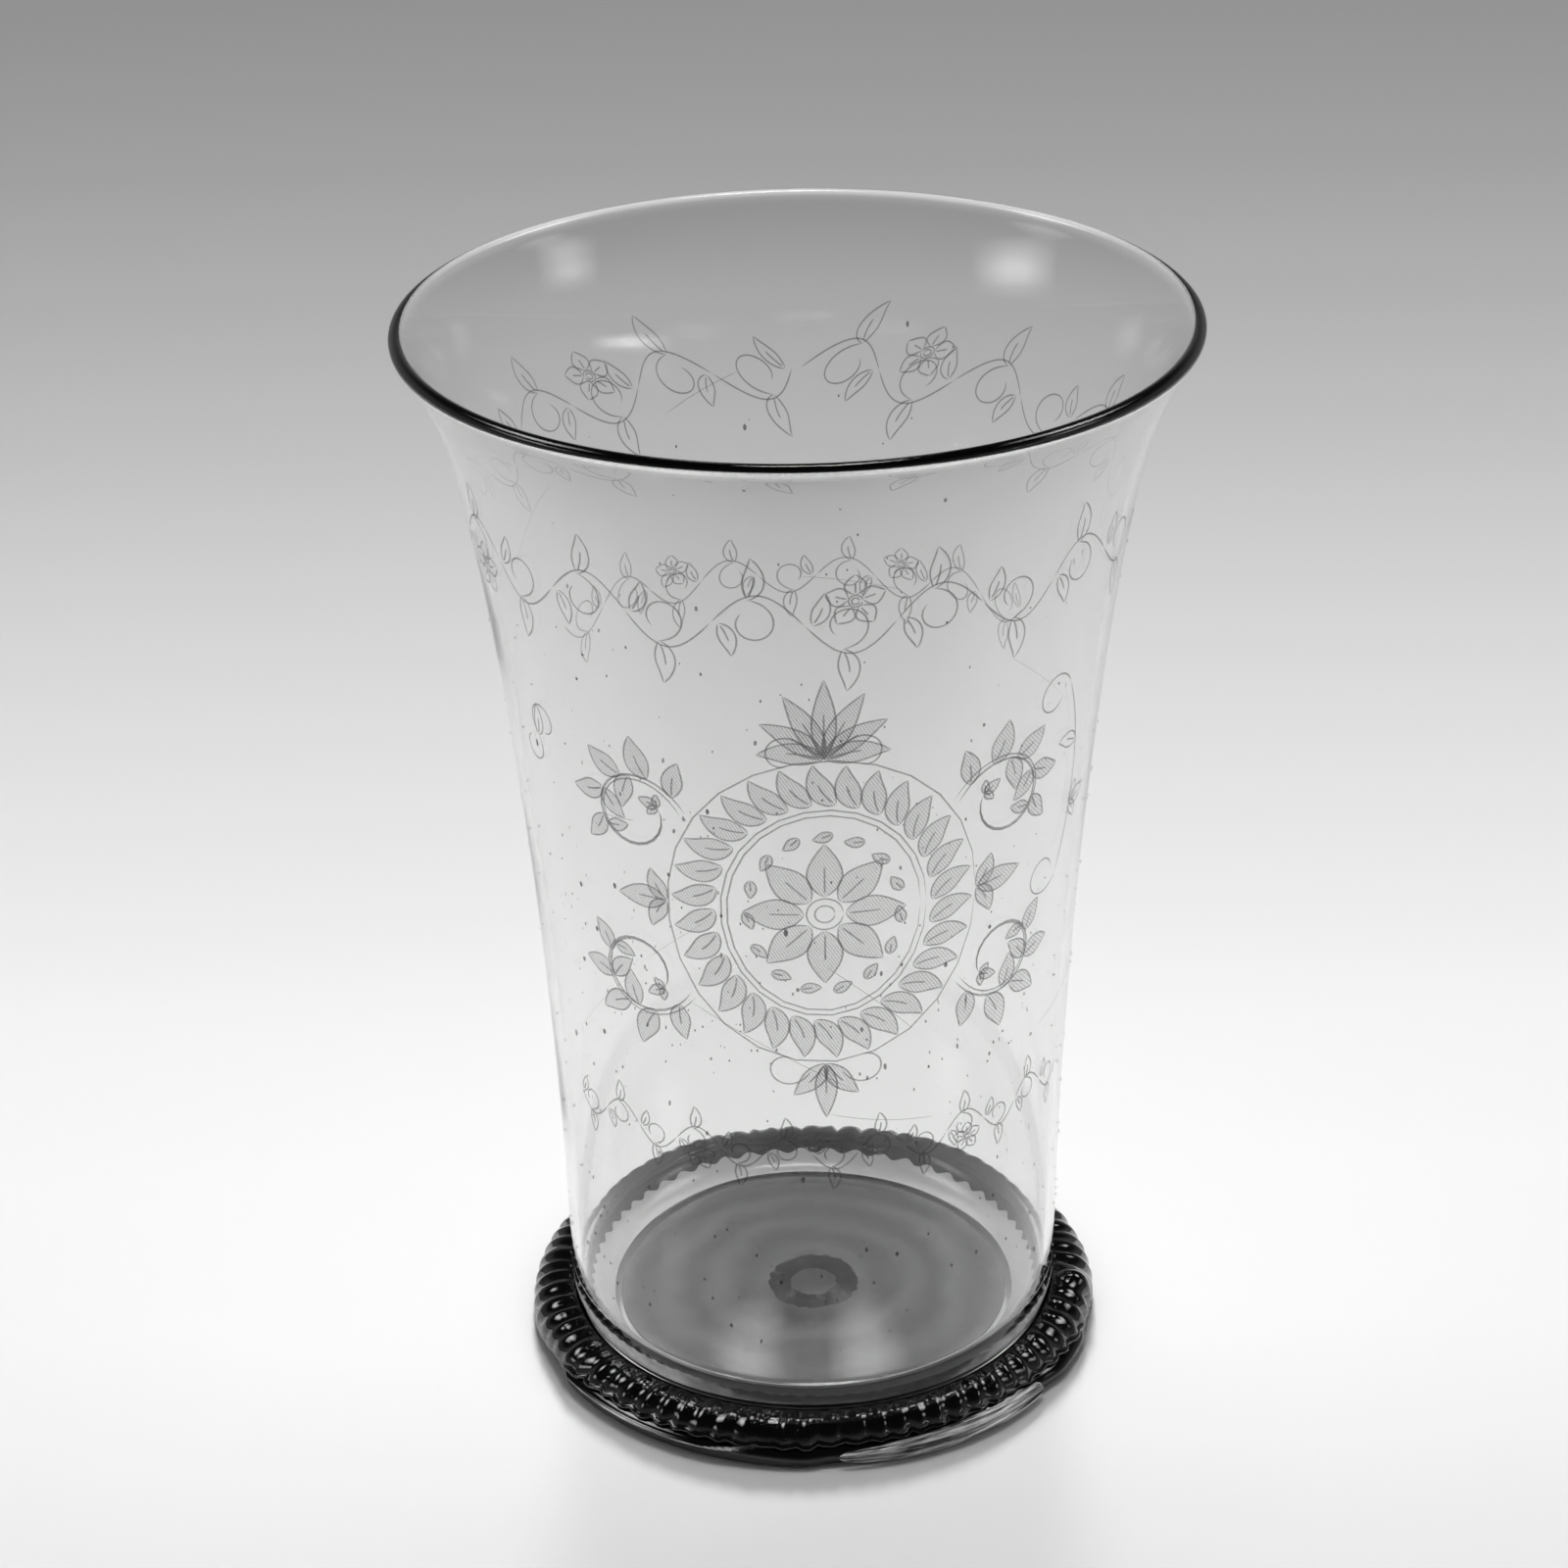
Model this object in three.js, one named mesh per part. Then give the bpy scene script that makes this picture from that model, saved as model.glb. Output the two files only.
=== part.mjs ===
// A conical blown beaker: a thin clear bowl with a flared lip that the fire has rounded, a dark pad under its
// floor, and a foot of two dark threads wound round the bowl's corner, the upper one pressed into ribs.
// Units are millimetres and degrees. The beaker stands on z = 0, its axis is z, and its front faces -y.
import * as THREE from 'three';

// The whole beaker
const height = 150;
const seatGap = 0.3;
const roundSteps = 48;

// The clear bowl: the wall widens with height by a power curve, flares again in its last few millimetres, and
// thickens towards its round lip. Its floor is pushed up in the middle, and the glass is thickest in the corner
const wallFootRadius = 34.4;
const wallTaper = 12;
const taperPower = 2.12;
const lipFlare = 5.4;
const flareLength = 9;
const wallThickness = 1.3;
const lipThickness = 1.9;
const lipGrowth = 6;
const plainWallShare = 0.8;
const floorThickness = 1.3;
const cornerRadius = 5.6;
const innerCornerRadius = 6.5;
const floorRise = 1.6;
const floorRisePower = 1.3;

// The dark pad under the floor, and the ring-shaped scar that the pontil rod left on it
const padInset = 6.4;
const padThickness = 1.3;
const padAboveTable = 1.2;
const scarRadius = 6.5;
const scarHoleRadius = 3;
const scarThickness = 0.7;

// The plain foot thread, which the beaker stands on
const footOverhang = 5.9;
const footThreadHeight = 2.9;
const footThreadInset = 0.7;
const footThreadFlat = -45;

// The ribbed trail on top of it. Its skirt hangs over the plain thread, and lifts off it at the front
const trailHeight = 2.7;
const lowSeatShare = 1 / 3;
const shoulderReach = 1.6;
const shoulderRise = 1.1;
const skirtThickness = 1.3;
const skirtLow = -18;
const skirtHigh = 58;
const skirtRound = 6;
const skirtSwell = 0.5;
const trailReachUnder = 118;
const ribCount = 78;
const ribDepth = 0.75;
const ribSlant = 0.3;
const ribSharpness = 2.5;
const ribFadeIn = 0.25;
const stepsPerRib = 3;
const frontTurn = -84;
const frontHalfSpan = 56;
const frontFade = 30;

// The tail of the plain thread, laid back over its own front and pressed flat. It rises from its round tip
const tailStart = -86;
const tailEnd = -38;
const tailLow = 12;
const tailHigh = 16;
const tailThickness = 0.9;
const tailWidth = 2;
const tailPress = 0.8;
const tailPressFade = 8;
const tailTipShare = 0.06;
const tailTornShare = 0.86;
const tailThinShare = 0.6;
const tailSteps = 16;

const { euclideanModulo, radToDeg, smoothstep } = THREE.MathUtils;
const radians = THREE.MathUtils.degToRad;
const mix = THREE.MathUtils.lerp;
const cosOf = (degrees) => Math.cos(radians(degrees));
const sinOf = (degrees) => Math.sin(radians(degrees));

// Numbers from a to b in equal steps, both ends included
const span = (a, b, steps) => Array.from({ length: steps + 1 }, (_, i) => mix(a, b, i / steps));

// What follows from the sizes: the bowl's outside, and its round corner between the wall and the floor
const floorLift = padAboveTable + padThickness + seatGap;
const cornerTop = floorLift + cornerRadius;
const wallRadius = (z) => wallFootRadius
  + wallTaper * (z / height) ** taperPower
  + lipFlare * Math.exp((z - height) / flareLength);
const cornerCentre = wallRadius(cornerTop) - cornerRadius;

// The height of the bowl's underside at a radius, and the radius of its outside at a height, with a gap added
const undersideAt = (r, gap) => (r < cornerCentre
  ? floorLift + floorRise * (1 - (r / cornerCentre) ** floorRisePower) - gap
  : cornerTop - Math.sqrt((cornerRadius + gap) ** 2 - (r - cornerCentre) ** 2));
const outsideAt = (z, gap) => (z > cornerTop
  ? wallRadius(z) + gap
  : cornerCentre + Math.sqrt((cornerRadius + gap) ** 2 - (z - cornerTop) ** 2));

const glass = (name, color, opacity) => new THREE.MeshStandardMaterial({
  name, color, roughness: 0.06, metalness: 0, transparent: opacity < 1, opacity,
});
const clearGlass = glass('clear_glass', 0xe4e6e4, 0.35);
const darkGlass = glass('dark_glass', 0x15171c, 1);
const padGlass = glass('pad_glass', 0x5b5d60, 0.8);

const beaker = new THREE.Group();
const addPiece = (name, geometry, material) => {
  const piece = new THREE.Mesh(geometry, material);
  piece.name = name;
  beaker.add(piece);
};

// Turns a profile of [radius, height] points round the z axis
const turned = (profile, steps = roundSteps) => {
  const points = profile.map(([r, z]) => new THREE.Vector2(r, z));
  return new THREE.LatheGeometry(points, steps).rotateX(Math.PI / 2);
};

// The bowl: the underside of its floor, the round corner, the wall's two sides at equal distances from its
// middle, the round lip between them, and the inner corner, whose radius is its own
const wallSlope = (z) => wallTaper * taperPower / height * (z / height) ** (taperPower - 1)
  + lipFlare / flareLength * Math.exp((z - height) / flareLength);
const lipRadius = lipThickness / 2;
const lipCentre = height - lipRadius;
const wallSide = (z, side) => {
  const half = mix(wallThickness / 2, lipRadius, Math.exp((z - lipCentre) / lipGrowth)) * side;
  const length = Math.hypot(1, wallSlope(z));
  return [wallRadius(z) - wallThickness / 2 + half / length, z - half * wallSlope(z) / length];
};
const innerCentre = wallRadius(cornerTop) - wallThickness - innerCornerRadius;
const innerTop = undersideAt(innerCentre, 0) + floorThickness + innerCornerRadius;
const cornerAngles = span(-90, 0, 5);
const corner = (radius, r, z) => cornerAngles.map((angle) => [
  r + radius * cosOf(angle),
  z + radius * sinOf(angle),
]);
const floorShares = span(0, 1, 5).slice(0, -1);
const flareStart = mix(innerTop, lipCentre, plainWallShare);
const wallHeights = [
  ...span(innerTop, flareStart, 4).slice(1),
  ...span(flareStart, lipCentre, 6).slice(1),
];
const lean = radToDeg(Math.atan(wallSlope(lipCentre)));
const lip = span(-lean, 180 - lean, 6).slice(1, -1).map((angle) => [
  wallRadius(lipCentre) - wallThickness / 2 + lipRadius * cosOf(angle),
  lipCentre + lipRadius * sinOf(angle),
]);
const bowlOutside = [
  ...floorShares.map((share) => [cornerCentre * share, undersideAt(cornerCentre * share, 0)]),
  ...corner(cornerRadius, cornerCentre, cornerTop),
  ...wallHeights.map((z) => wallSide(z, 1)),
];
const bowlInside = [
  ...floorShares.map((share) => [innerCentre * share, undersideAt(innerCentre * share, 0) + floorThickness]),
  ...corner(innerCornerRadius, innerCentre, innerTop),
  ...wallHeights.map((z) => wallSide(z, -1)),
];
addPiece('bowl', turned([...bowlOutside, ...lip, ...bowlInside.toReversed()]), clearGlass);

// The pad: it follows the floor's rise at the same thickness, and has a rounded edge
const padRadius = wallFootRadius - padInset;
const padTop = (r) => undersideAt(r, seatGap);
const padRadii = span(0, padRadius - padThickness / 2, 6);
addPiece('base_pad', turned([
  ...padRadii.map((r) => [r, padTop(r) - padThickness]),
  [padRadius, padTop(padRadius) - padThickness / 2],
  ...padRadii.toReversed().map((r) => [r, padTop(r)]),
]), padGlass);

// The pontil scar: a low ring of broken glass under the pad's centre
const scarTop = padTop(scarRadius) - padThickness - seatGap;
const scarBevel = scarThickness / 3;
addPiece('pontil_scar', turned([
  [scarHoleRadius, scarTop],
  [scarHoleRadius + scarBevel, scarTop - scarThickness],
  [scarRadius - scarBevel, scarTop - scarThickness],
  [scarRadius, scarTop],
  [scarHoleRadius, scarTop],
], roundSteps / 2), padGlass);

// Joins closed sections, each drawn the same way round, into one solid: a ring, or a bar with a cap at each end
const joined = (sections, isRing) => {
  const count = sections[0].length;
  const faces = [];
  const joints = isRing ? sections.length : sections.length - 1;
  for (let i = 0; i < joints; i += 1) {
    const here = i * count;
    const next = ((i + 1) % sections.length) * count;
    for (let j = 0; j < count; j += 1) {
      const k = (j + 1) % count;
      faces.push(here + j, here + k, next + k, here + j, next + k, next + j);
    }
  }
  if (!isRing) {
    const end = (sections.length - 1) * count;
    for (let j = 1; j < count - 1; j += 1) {
      faces.push(0, j + 1, j, end, end + j, end + j + 1);
    }
  }
  const geometry = new THREE.BufferGeometry().setFromPoints(sections.flat());
  geometry.setIndex(faces);
  geometry.computeVertexNormals();
  return geometry;
};
const placed = (section, turn) => section.map(([r, z]) => (
  new THREE.Vector3(r * cosOf(turn), r * sinOf(turn), z)
));
const ringOf = (sectionAt, steps) => {
  const turns = span(0, 360, steps).slice(0, -1);
  return joined(turns.map((turn) => placed(sectionAt(turn), turn).toReversed()), true);
};

// How far a place round the foot belongs to a stretch of it: 1 inside the stretch, fading to 0 past its ends
const stretchShare = (turn, middle, halfSpan, fade) => {
  const away = Math.abs(euclideanModulo(turn - middle + 180, 360) - 180);
  return 1 - smoothstep(away, halfSpan, halfSpan + fade);
};
const skirtShare = (turn) => stretchShare(turn, frontTurn, frontHalfSpan, frontFade);
const skirtAngle = (turn) => mix(skirtLow, skirtHigh, skirtShare(turn));
const tailMiddle = (tailStart + tailEnd) / 2;
const tailHalfSpan = (tailEnd - tailStart) / 2;
const pressShare = (turn) => stretchShare(turn, tailMiddle, tailHalfSpan, tailPressFade);

// The plain thread's section is an ellipse, cut flat where it stands on the table. It is narrower where the
// skirt hangs over it, by as much as keeps the foot's outline even, and where the tail is pressed on to it.
// A point is at an angle round the section, moved out by grow
const footRadius = wallFootRadius + footOverhang;
const threadInner = wallFootRadius - footThreadInset;
const threadRise = footThreadHeight / (1 - sinOf(footThreadFlat));
const threadMiddle = footThreadHeight - threadRise;
const threadOuter = (turn) => {
  const reach = cosOf(Math.max(skirtAngle(turn) + skirtRound, 0));
  const covered = footRadius - (seatGap + skirtThickness) * reach;
  return Math.min(footRadius, (2 * covered - threadInner * (1 - reach)) / (1 + reach));
};
const threadPoint = (angle, turn, grow) => {
  const outer = threadOuter(turn) - tailPress * pressShare(turn);
  return [
    (outer + threadInner) / 2 + ((outer - threadInner) / 2 + grow) * cosOf(angle),
    threadMiddle + (threadRise + grow) * sinOf(angle),
  ];
};
const threadAngles = span(footThreadFlat, 180 - footThreadFlat, 12);
const threadSection = (turn) => threadAngles.map((angle) => threadPoint(angle, turn, 0));
addPiece('foot_thread', ringOf(threadSection, 72), darkGlass);

// The ribbed trail: a curve from the wall over a round shoulder to the skirt's edge, then back under the skirt
// along the plain thread, and up along the bowl's corner. A rib is a round lobe between two sharp valleys, and
// it leans a little
const trailTop = footThreadHeight + trailHeight;
const ribHeight = (turn, drop) => {
  const phase = euclideanModulo(turn * ribCount / 360 + ribSlant * drop, 1);
  return 1 - Math.abs(phase * 2 - 1) ** ribSharpness;
};
const trailCurve = (turn) => {
  const top = new THREE.Vector2(outsideAt(trailTop, seatGap), trailTop);
  const edge = new THREE.Vector2(...threadPoint(skirtAngle(turn) + skirtRound, turn, seatGap + skirtThickness));
  const shoulder = new THREE.Vector2(top.x + shoulderReach, trailTop + shoulderRise);
  const knee = new THREE.Vector2(edge.x + skirtSwell, trailTop);
  return new THREE.CubicBezierCurve(top, shoulder, knee, edge);
};
const trailSection = (turn) => {
  const curve = trailCurve(turn);
  const outside = span(0, 1, 5).map((drop) => {
    const point = curve.getPoint(drop);
    const along = curve.getTangent(drop);
    const depth = ribDepth * Math.min(1, drop / ribFadeIn) * (1 - ribHeight(turn, drop));
    return [point.x + along.y * depth, point.y - along.x * depth];
  });
  const under = span(skirtAngle(turn), trailReachUnder, 4).map((angle) => threadPoint(angle, turn, seatGap));
  const lowSeat = footThreadHeight + trailHeight * lowSeatShare;
  return [...outside, ...under, [outsideAt(lowSeat, seatGap), lowSeat]].toReversed();
};
addPiece('ribbed_trail', ringOf(trailSection, ribCount * stepsPerRib), darkGlass);

// The tail: a flattened tongue along the front of the plain thread, round at its tip and rising to its torn end
const tailSection = (share) => {
  const turn = mix(tailStart, tailEnd, share);
  const middle = mix(tailLow, tailHigh, share);
  const fullness = Math.sqrt(Math.sin(Math.PI * mix(tailTipShare, tailTornShare, share)));
  const halfAngle = radToDeg(tailWidth / 2 / threadRise) * fullness;
  const angles = span(middle - halfAngle, middle + halfAngle, 2);
  const outside = seatGap + tailThickness * mix(tailThinShare, 1, fullness);
  return placed([
    ...angles.map((angle) => threadPoint(angle, turn, seatGap)),
    ...angles.toReversed().map((angle) => threadPoint(angle, turn, outside)),
  ], turn);
};
addPiece('thread_tail', joined(span(0, 1, tailSteps).map(tailSection), false), darkGlass);

export default beaker;
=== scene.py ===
import math
import bpy
import numpy as np
from mathutils import Matrix, Vector


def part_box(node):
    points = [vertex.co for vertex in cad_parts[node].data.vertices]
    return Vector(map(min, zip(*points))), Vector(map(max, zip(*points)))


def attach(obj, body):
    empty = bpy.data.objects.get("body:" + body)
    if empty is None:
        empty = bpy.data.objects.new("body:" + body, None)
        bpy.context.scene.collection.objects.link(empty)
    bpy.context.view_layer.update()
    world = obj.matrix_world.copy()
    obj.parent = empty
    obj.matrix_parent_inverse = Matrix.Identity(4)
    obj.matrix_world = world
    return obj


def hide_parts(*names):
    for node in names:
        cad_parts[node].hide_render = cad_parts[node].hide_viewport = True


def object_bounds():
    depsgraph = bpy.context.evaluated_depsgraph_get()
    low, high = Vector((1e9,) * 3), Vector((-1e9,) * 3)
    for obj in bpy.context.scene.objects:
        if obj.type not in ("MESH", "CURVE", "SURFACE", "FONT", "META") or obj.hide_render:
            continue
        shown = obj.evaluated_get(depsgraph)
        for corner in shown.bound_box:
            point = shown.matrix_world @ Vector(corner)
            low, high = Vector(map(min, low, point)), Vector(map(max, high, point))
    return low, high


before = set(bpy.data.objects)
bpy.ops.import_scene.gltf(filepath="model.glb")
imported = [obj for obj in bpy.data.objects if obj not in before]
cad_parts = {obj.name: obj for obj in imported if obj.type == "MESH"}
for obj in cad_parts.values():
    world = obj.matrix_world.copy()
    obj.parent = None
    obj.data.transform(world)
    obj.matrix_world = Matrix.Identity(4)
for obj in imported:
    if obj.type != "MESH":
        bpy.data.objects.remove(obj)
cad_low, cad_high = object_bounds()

# The camera stands a little over three beaker heights away, looks down on the lip and is turned by about a
# degree. It keeps the photograph's long lens, so that the lip and the foot have their true foreshortening.
camera_lens_mm = 83.87
camera_distance = 0.4902
camera_height_angle = math.radians(27.07)
camera_turn = math.radians(-1.146)
aim = Vector((-0.00279, 0.0, 0.08346))
back = Vector((0, -math.cos(camera_height_angle), math.sin(camera_height_angle)))
camera = bpy.data.objects.new("camera", bpy.data.cameras.new("camera"))
bpy.context.scene.collection.objects.link(camera)
camera.data.lens = camera_lens_mm
camera.data.clip_start = 0.01
camera.location = aim + back * camera_distance
camera.rotation_euler = (
    Matrix.Rotation(camera_turn, 3, back) @ (-back).to_track_quat("-Z", "Y").to_matrix()
).to_euler()
bpy.context.scene.camera = camera
bpy.context.scene.view_settings.view_transform = "Standard"


# The studio: a matt pale floor whose colour is painted darker behind and in front, a painted fall-off of the
# light, in a room that is pale up to a low horizon and dark above it. Soft boxes stand at the sides and
# overhead, two dim windows behind, and a low strip at the front right. A wide key light comes from behind.
class Socket:
    """An output of a shader node. Sums, differences and products of it are Math nodes."""

    def __init__(self, tree, output=None):
        self.tree = tree
        self.output = output

    def node(self, kind, settings=None, inputs=None, output=0):
        made = self.tree.nodes.new("ShaderNode" + kind)
        for name, value in (settings or {}).items():
            if name == "stops":
                while len(made.color_ramp.elements) < len(value):
                    made.color_ramp.elements.new(1)
                for element, (place, tone) in zip(made.color_ramp.elements, value):
                    element.position = place
                    element.color = (tone, tone, tone, 1)
            else:
                setattr(made, name, value)
        for name, value in (inputs or {}).items():
            if isinstance(value, Socket):
                self.tree.links.new(value.output, made.inputs[name])
            else:
                made.inputs[name].default_value = value
        return Socket(self.tree, made.outputs[output] if made.outputs else None)

    def maths(self, operation, first, second=0.0):
        return self.node("Math", {"operation": operation}, {0: first, 1: second})

    def parts(self, vector):
        """The x, y and z of a vector."""
        split = self.node("SeparateXYZ", inputs={0: vector}).output.node
        return [Socket(self.tree, split.outputs[axis]) for axis in "XYZ"]

    def __add__(self, other):
        return self.maths("ADD", self, other)

    def __sub__(self, other):
        return self.maths("SUBTRACT", self, other)

    def __rsub__(self, other):
        return self.maths("SUBTRACT", other, self)

    def __mul__(self, other):
        return self.maths("MULTIPLY", self, other)

    __radd__ = __add__
    __rmul__ = __mul__


def emptied(owner):
    owner.use_nodes = True
    owner.node_tree.nodes.clear()
    return Socket(owner.node_tree)


floor_half = 6.0
floor_bright_at = Vector((0.0, 0.035, 0.0))
floor_even_half_width = 0.26
floor_fade_reach = 0.7
floor_front_start = 0.1
floor_front_haste = 2.0
# Painted fall-off of light: the floor's colour is palest near the beaker and greyer behind and in front.
painted_floor_tones = (
    (0.0, 0.95), (0.06, 0.93), (0.12, 0.86), (0.2, 0.78), (0.3, 0.68),
    (0.42, 0.56), (0.55, 0.47), (0.72, 0.39), (0.88, 0.35), (1.0, 0.33),
)
bpy.ops.mesh.primitive_plane_add(size=2 * floor_half)
floor = bpy.context.object
floor.name = "floor"
painted_falloff_floor = bpy.data.materials.new("painted_falloff_floor")
tree = emptied(painted_falloff_floor)
place = tree.node("TexCoord", output="Object")
from_brightest = tree.node("VectorMath", {"operation": "SUBTRACT"}, {0: place, 1: floor_bright_at})
sideways, lengthways, _ = tree.parts(from_brightest)
beyond = tree.maths("MAXIMUM", tree.maths("ABSOLUTE", sideways) - floor_even_half_width)
nearer = tree.maths("MAXIMUM", 0.0 - lengthways - floor_front_start)
away = tree.maths("SQRT", beyond * beyond + lengthways * lengthways) + nearer * floor_front_haste
painted_floor_tone = tree.node("ValToRGB", {"stops": painted_floor_tones}, {0: away * (1 / floor_fade_reach)})
matt = tree.node("BsdfDiffuse", inputs={"Color": painted_floor_tone})
tree.node("OutputMaterial", inputs={"Surface": matt})
floor.data.materials.append(painted_falloff_floor)

room_tones = ((0.0, 0.04), (0.45, 0.1), (0.6, 0.28), (1.0, 0.45))
room_strength = 0.95
surround_tones = ((0.0, 0.3), (0.5, 0.3), (0.62, 0.26), (0.75, 0.05), (1.0, 0.03))
studio = bpy.data.worlds.new("studio")
bpy.context.scene.world = studio
tree = emptied(studio)
_, backwards, upwards = tree.parts(tree.node("TexCoord", output="Generated"))
surround = tree.node("ValToRGB", {"stops": surround_tones}, {0: upwards * 0.5 + 0.5})
room = tree.node("ValToRGB", {"stops": room_tones}, {0: backwards * 0.5 + 0.5})
is_seen = tree.maths("MAXIMUM", tree.node("LightPath", output="Is Camera Ray"),
                     tree.node("LightPath", output="Is Glossy Ray"))
is_seen = tree.maths("MAXIMUM", is_seen, tree.node("LightPath", output="Is Transmission Ray"))
surround_shown = tree.node("Background", inputs={"Color": surround, "Strength": 1.0})
room_light = tree.node("Background", inputs={"Color": room, "Strength": room_strength})
either = tree.node("MixShader", inputs={0: is_seen, 1: room_light, 2: surround_shown})
tree.node("OutputWorld", inputs={"Surface": either})


def softbox(name, azimuth, height_angle, width, height, brightness, distance=0.95, soft_edge=0.8):
    """A lamp seen from the beaker at an azimuth and a height angle, in degrees. Brightness is its
    radiance, and it fades over a share of its half width towards each edge."""
    lamp = bpy.data.lights.new(name, "AREA")
    lamp.shape = "RECTANGLE"
    lamp.size = width
    lamp.size_y = height
    lamp.energy = brightness * math.pi * width * height
    tree = emptied(lamp)
    across_and_up = tree.parts(tree.node("NewGeometry", output="Parametric"))[:2]
    fade = 1.0
    for share in across_and_up:
        inset = tree.maths("MINIMUM", share, 1.0 - share) * (2 / soft_edge)
        fade = tree.maths("MINIMUM", inset, 1.0) * fade
    cloth = tree.node("CombineColor", inputs={0: fade, 1: fade, 2: fade})
    glow = tree.node("Emission", inputs={"Color": cloth})
    tree.node("OutputLight", inputs={"Surface": glow})
    towards = Vector((
        math.cos(math.radians(azimuth)) * math.cos(math.radians(height_angle)),
        math.sin(math.radians(azimuth)) * math.cos(math.radians(height_angle)),
        math.sin(math.radians(height_angle)),
    ))
    box = bpy.data.objects.new(name, lamp)
    box.location = Vector((0, 0, cad_high.z / 2)) + towards * distance
    box.rotation_euler = (-towards).to_track_quat("-Z", "Y").to_euler()
    bpy.context.scene.collection.objects.link(box)
    return box


softbox("left_softbox", 192, 25, width=0.5, height=0.28, brightness=4.0)
softbox("right_softbox", -9, 29, width=0.36, height=0.26, brightness=3.4)
softbox("overhead_softbox", 80, 76, width=0.32, height=0.28, brightness=13.0, distance=1.0, soft_edge=0.5)
softbox("back_left_window", 95.5, 42, width=0.085, height=0.24, brightness=1.8)
softbox("back_right_window", 85, 42, width=0.085, height=0.24, brightness=1.8)
softbox("low_right_strip", -30, 8, width=0.55, height=0.06, brightness=7.0, soft_edge=1.0)

# Two panels high at the sides show as bright spots on the ribs. They don't light the table.
for name, azimuth in (("high_right_panel", 22), ("high_left_panel", 162)):
    panel = softbox(name, azimuth, 52, width=0.55, height=0.4, brightness=8.0)
    panel.visible_diffuse = False

# The key light comes from low behind through a wide cloth, which the glass is too far off to mirror.
key_strength = 3.1
key_spread = math.radians(12)
key_tilt = math.radians(-57)
key = bpy.data.objects.new("key_light", bpy.data.lights.new("key_light", "SUN"))
key.data.energy = key_strength
key.data.angle = key_spread
key.rotation_euler = (key_tilt, 0, 0)
key.visible_glossy = False
key.visible_transmission = False
bpy.context.scene.collection.objects.link(key)

# The bowl: clear, slightly grey glass, blown from one gather. The wall opens upwards and flares at its
# lip, which the fire has rounded and thickened a little. The floor is pushed up, and no two places are
# quite as thick.
height = cad_high.z
wall_foot_radius = 0.0344
wall_taper = 0.012
taper_power = 2.12
lip_flare = 0.0054
flare_length = 0.009
wall_thickness = 0.0013
lip_half = 0.00095
lip_growth = 0.006
floor_thickness = 0.0013
corner_radius = 0.0056
inner_corner_radius = 0.0065
floor_rise = 0.0016
floor_rise_power = 1.3
floor_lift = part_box("bowl")[0].z
corner_top = floor_lift + corner_radius
lip_centre = height - lip_half
flare_start = 0.12
floor_steps = 24
corner_steps = 20
wall_steps = 60
flare_steps = 36
lip_steps = 16
inner_swell = 0.00007
outer_swell = 0.00004
swell_starts = (0.016, 0.04)
swell_ends = (0.143, 0.148)


def wall_radius(z):
    return (wall_foot_radius + wall_taper * (z / height) ** taper_power
            + lip_flare * np.exp((z - height) / flare_length))


corner_centre = wall_radius(corner_top) - corner_radius


def underside_at(radius, gap=0.0):
    """The height of the bowl's underside, or of a place a gap below it."""
    share = np.minimum(radius, corner_centre) / corner_centre
    pushed_up = floor_lift + floor_rise * (1 - share ** floor_rise_power)
    past = np.maximum(radius - corner_centre, 0)
    corner = corner_top - np.sqrt(np.maximum((corner_radius + gap) ** 2 - past ** 2, 0))
    return np.where(radius < corner_centre, pushed_up - gap, corner)


def outside_at(z, gap=0.0):
    """The radius of the bowl's outside, or of a place a gap away from it."""
    below = np.maximum(corner_top - z, 0)
    corner = corner_centre + np.sqrt(np.maximum((corner_radius + gap) ** 2 - below ** 2, 0))
    return np.where(z > corner_top, wall_radius(np.maximum(z, 0)) + gap, corner)


def wall_sides(heights):
    """The outer and the inner side of the wall, at equal distances from its middle, as rows of radius and
    height."""
    middle = wall_radius(heights) - wall_thickness / 2
    thickening = (lip_half - wall_thickness / 2) * np.exp((heights - lip_centre) / lip_growth)
    half = wall_thickness / 2 + thickening
    slope = np.gradient(middle, heights)
    length = np.hypot(slope, 1)
    out_r = half / length
    out_z = -half * slope / length
    outer = np.column_stack([middle + out_r, heights + out_z])
    return outer, np.column_stack([middle - out_r, heights - out_z])


def places_of(piece):
    """The places of a mesh's corners, as rows of x, y and z."""
    places = np.empty(len(piece.data.vertices) * 3)
    piece.data.vertices.foreach_get("co", places)
    return places.reshape(-1, 3)


def place_all(piece, places):
    piece.data.vertices.foreach_set("co", places.astype(np.float32).ravel())
    piece.data.update()


def place_round(piece, radius, turn, z):
    place_all(piece, np.column_stack([radius * np.cos(turn), radius * np.sin(turn), z]))


def closed_and_smooth(piece):
    """Merges doubles, points the faces outwards and shades them smooth."""
    bpy.ops.object.select_all(action="DESELECT")
    piece.select_set(True)
    bpy.context.view_layer.objects.active = piece
    bpy.ops.object.mode_set(mode="EDIT")
    bpy.ops.mesh.select_all(action="SELECT")
    bpy.ops.mesh.remove_doubles(threshold=1e-6)
    bpy.ops.mesh.delete_loose(use_verts=True, use_edges=True, use_faces=False)
    bpy.ops.mesh.select_all(action="SELECT")
    bpy.ops.mesh.normals_make_consistent(inside=False)
    bpy.ops.object.mode_set(mode="OBJECT")
    bpy.ops.object.shade_smooth()


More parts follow.
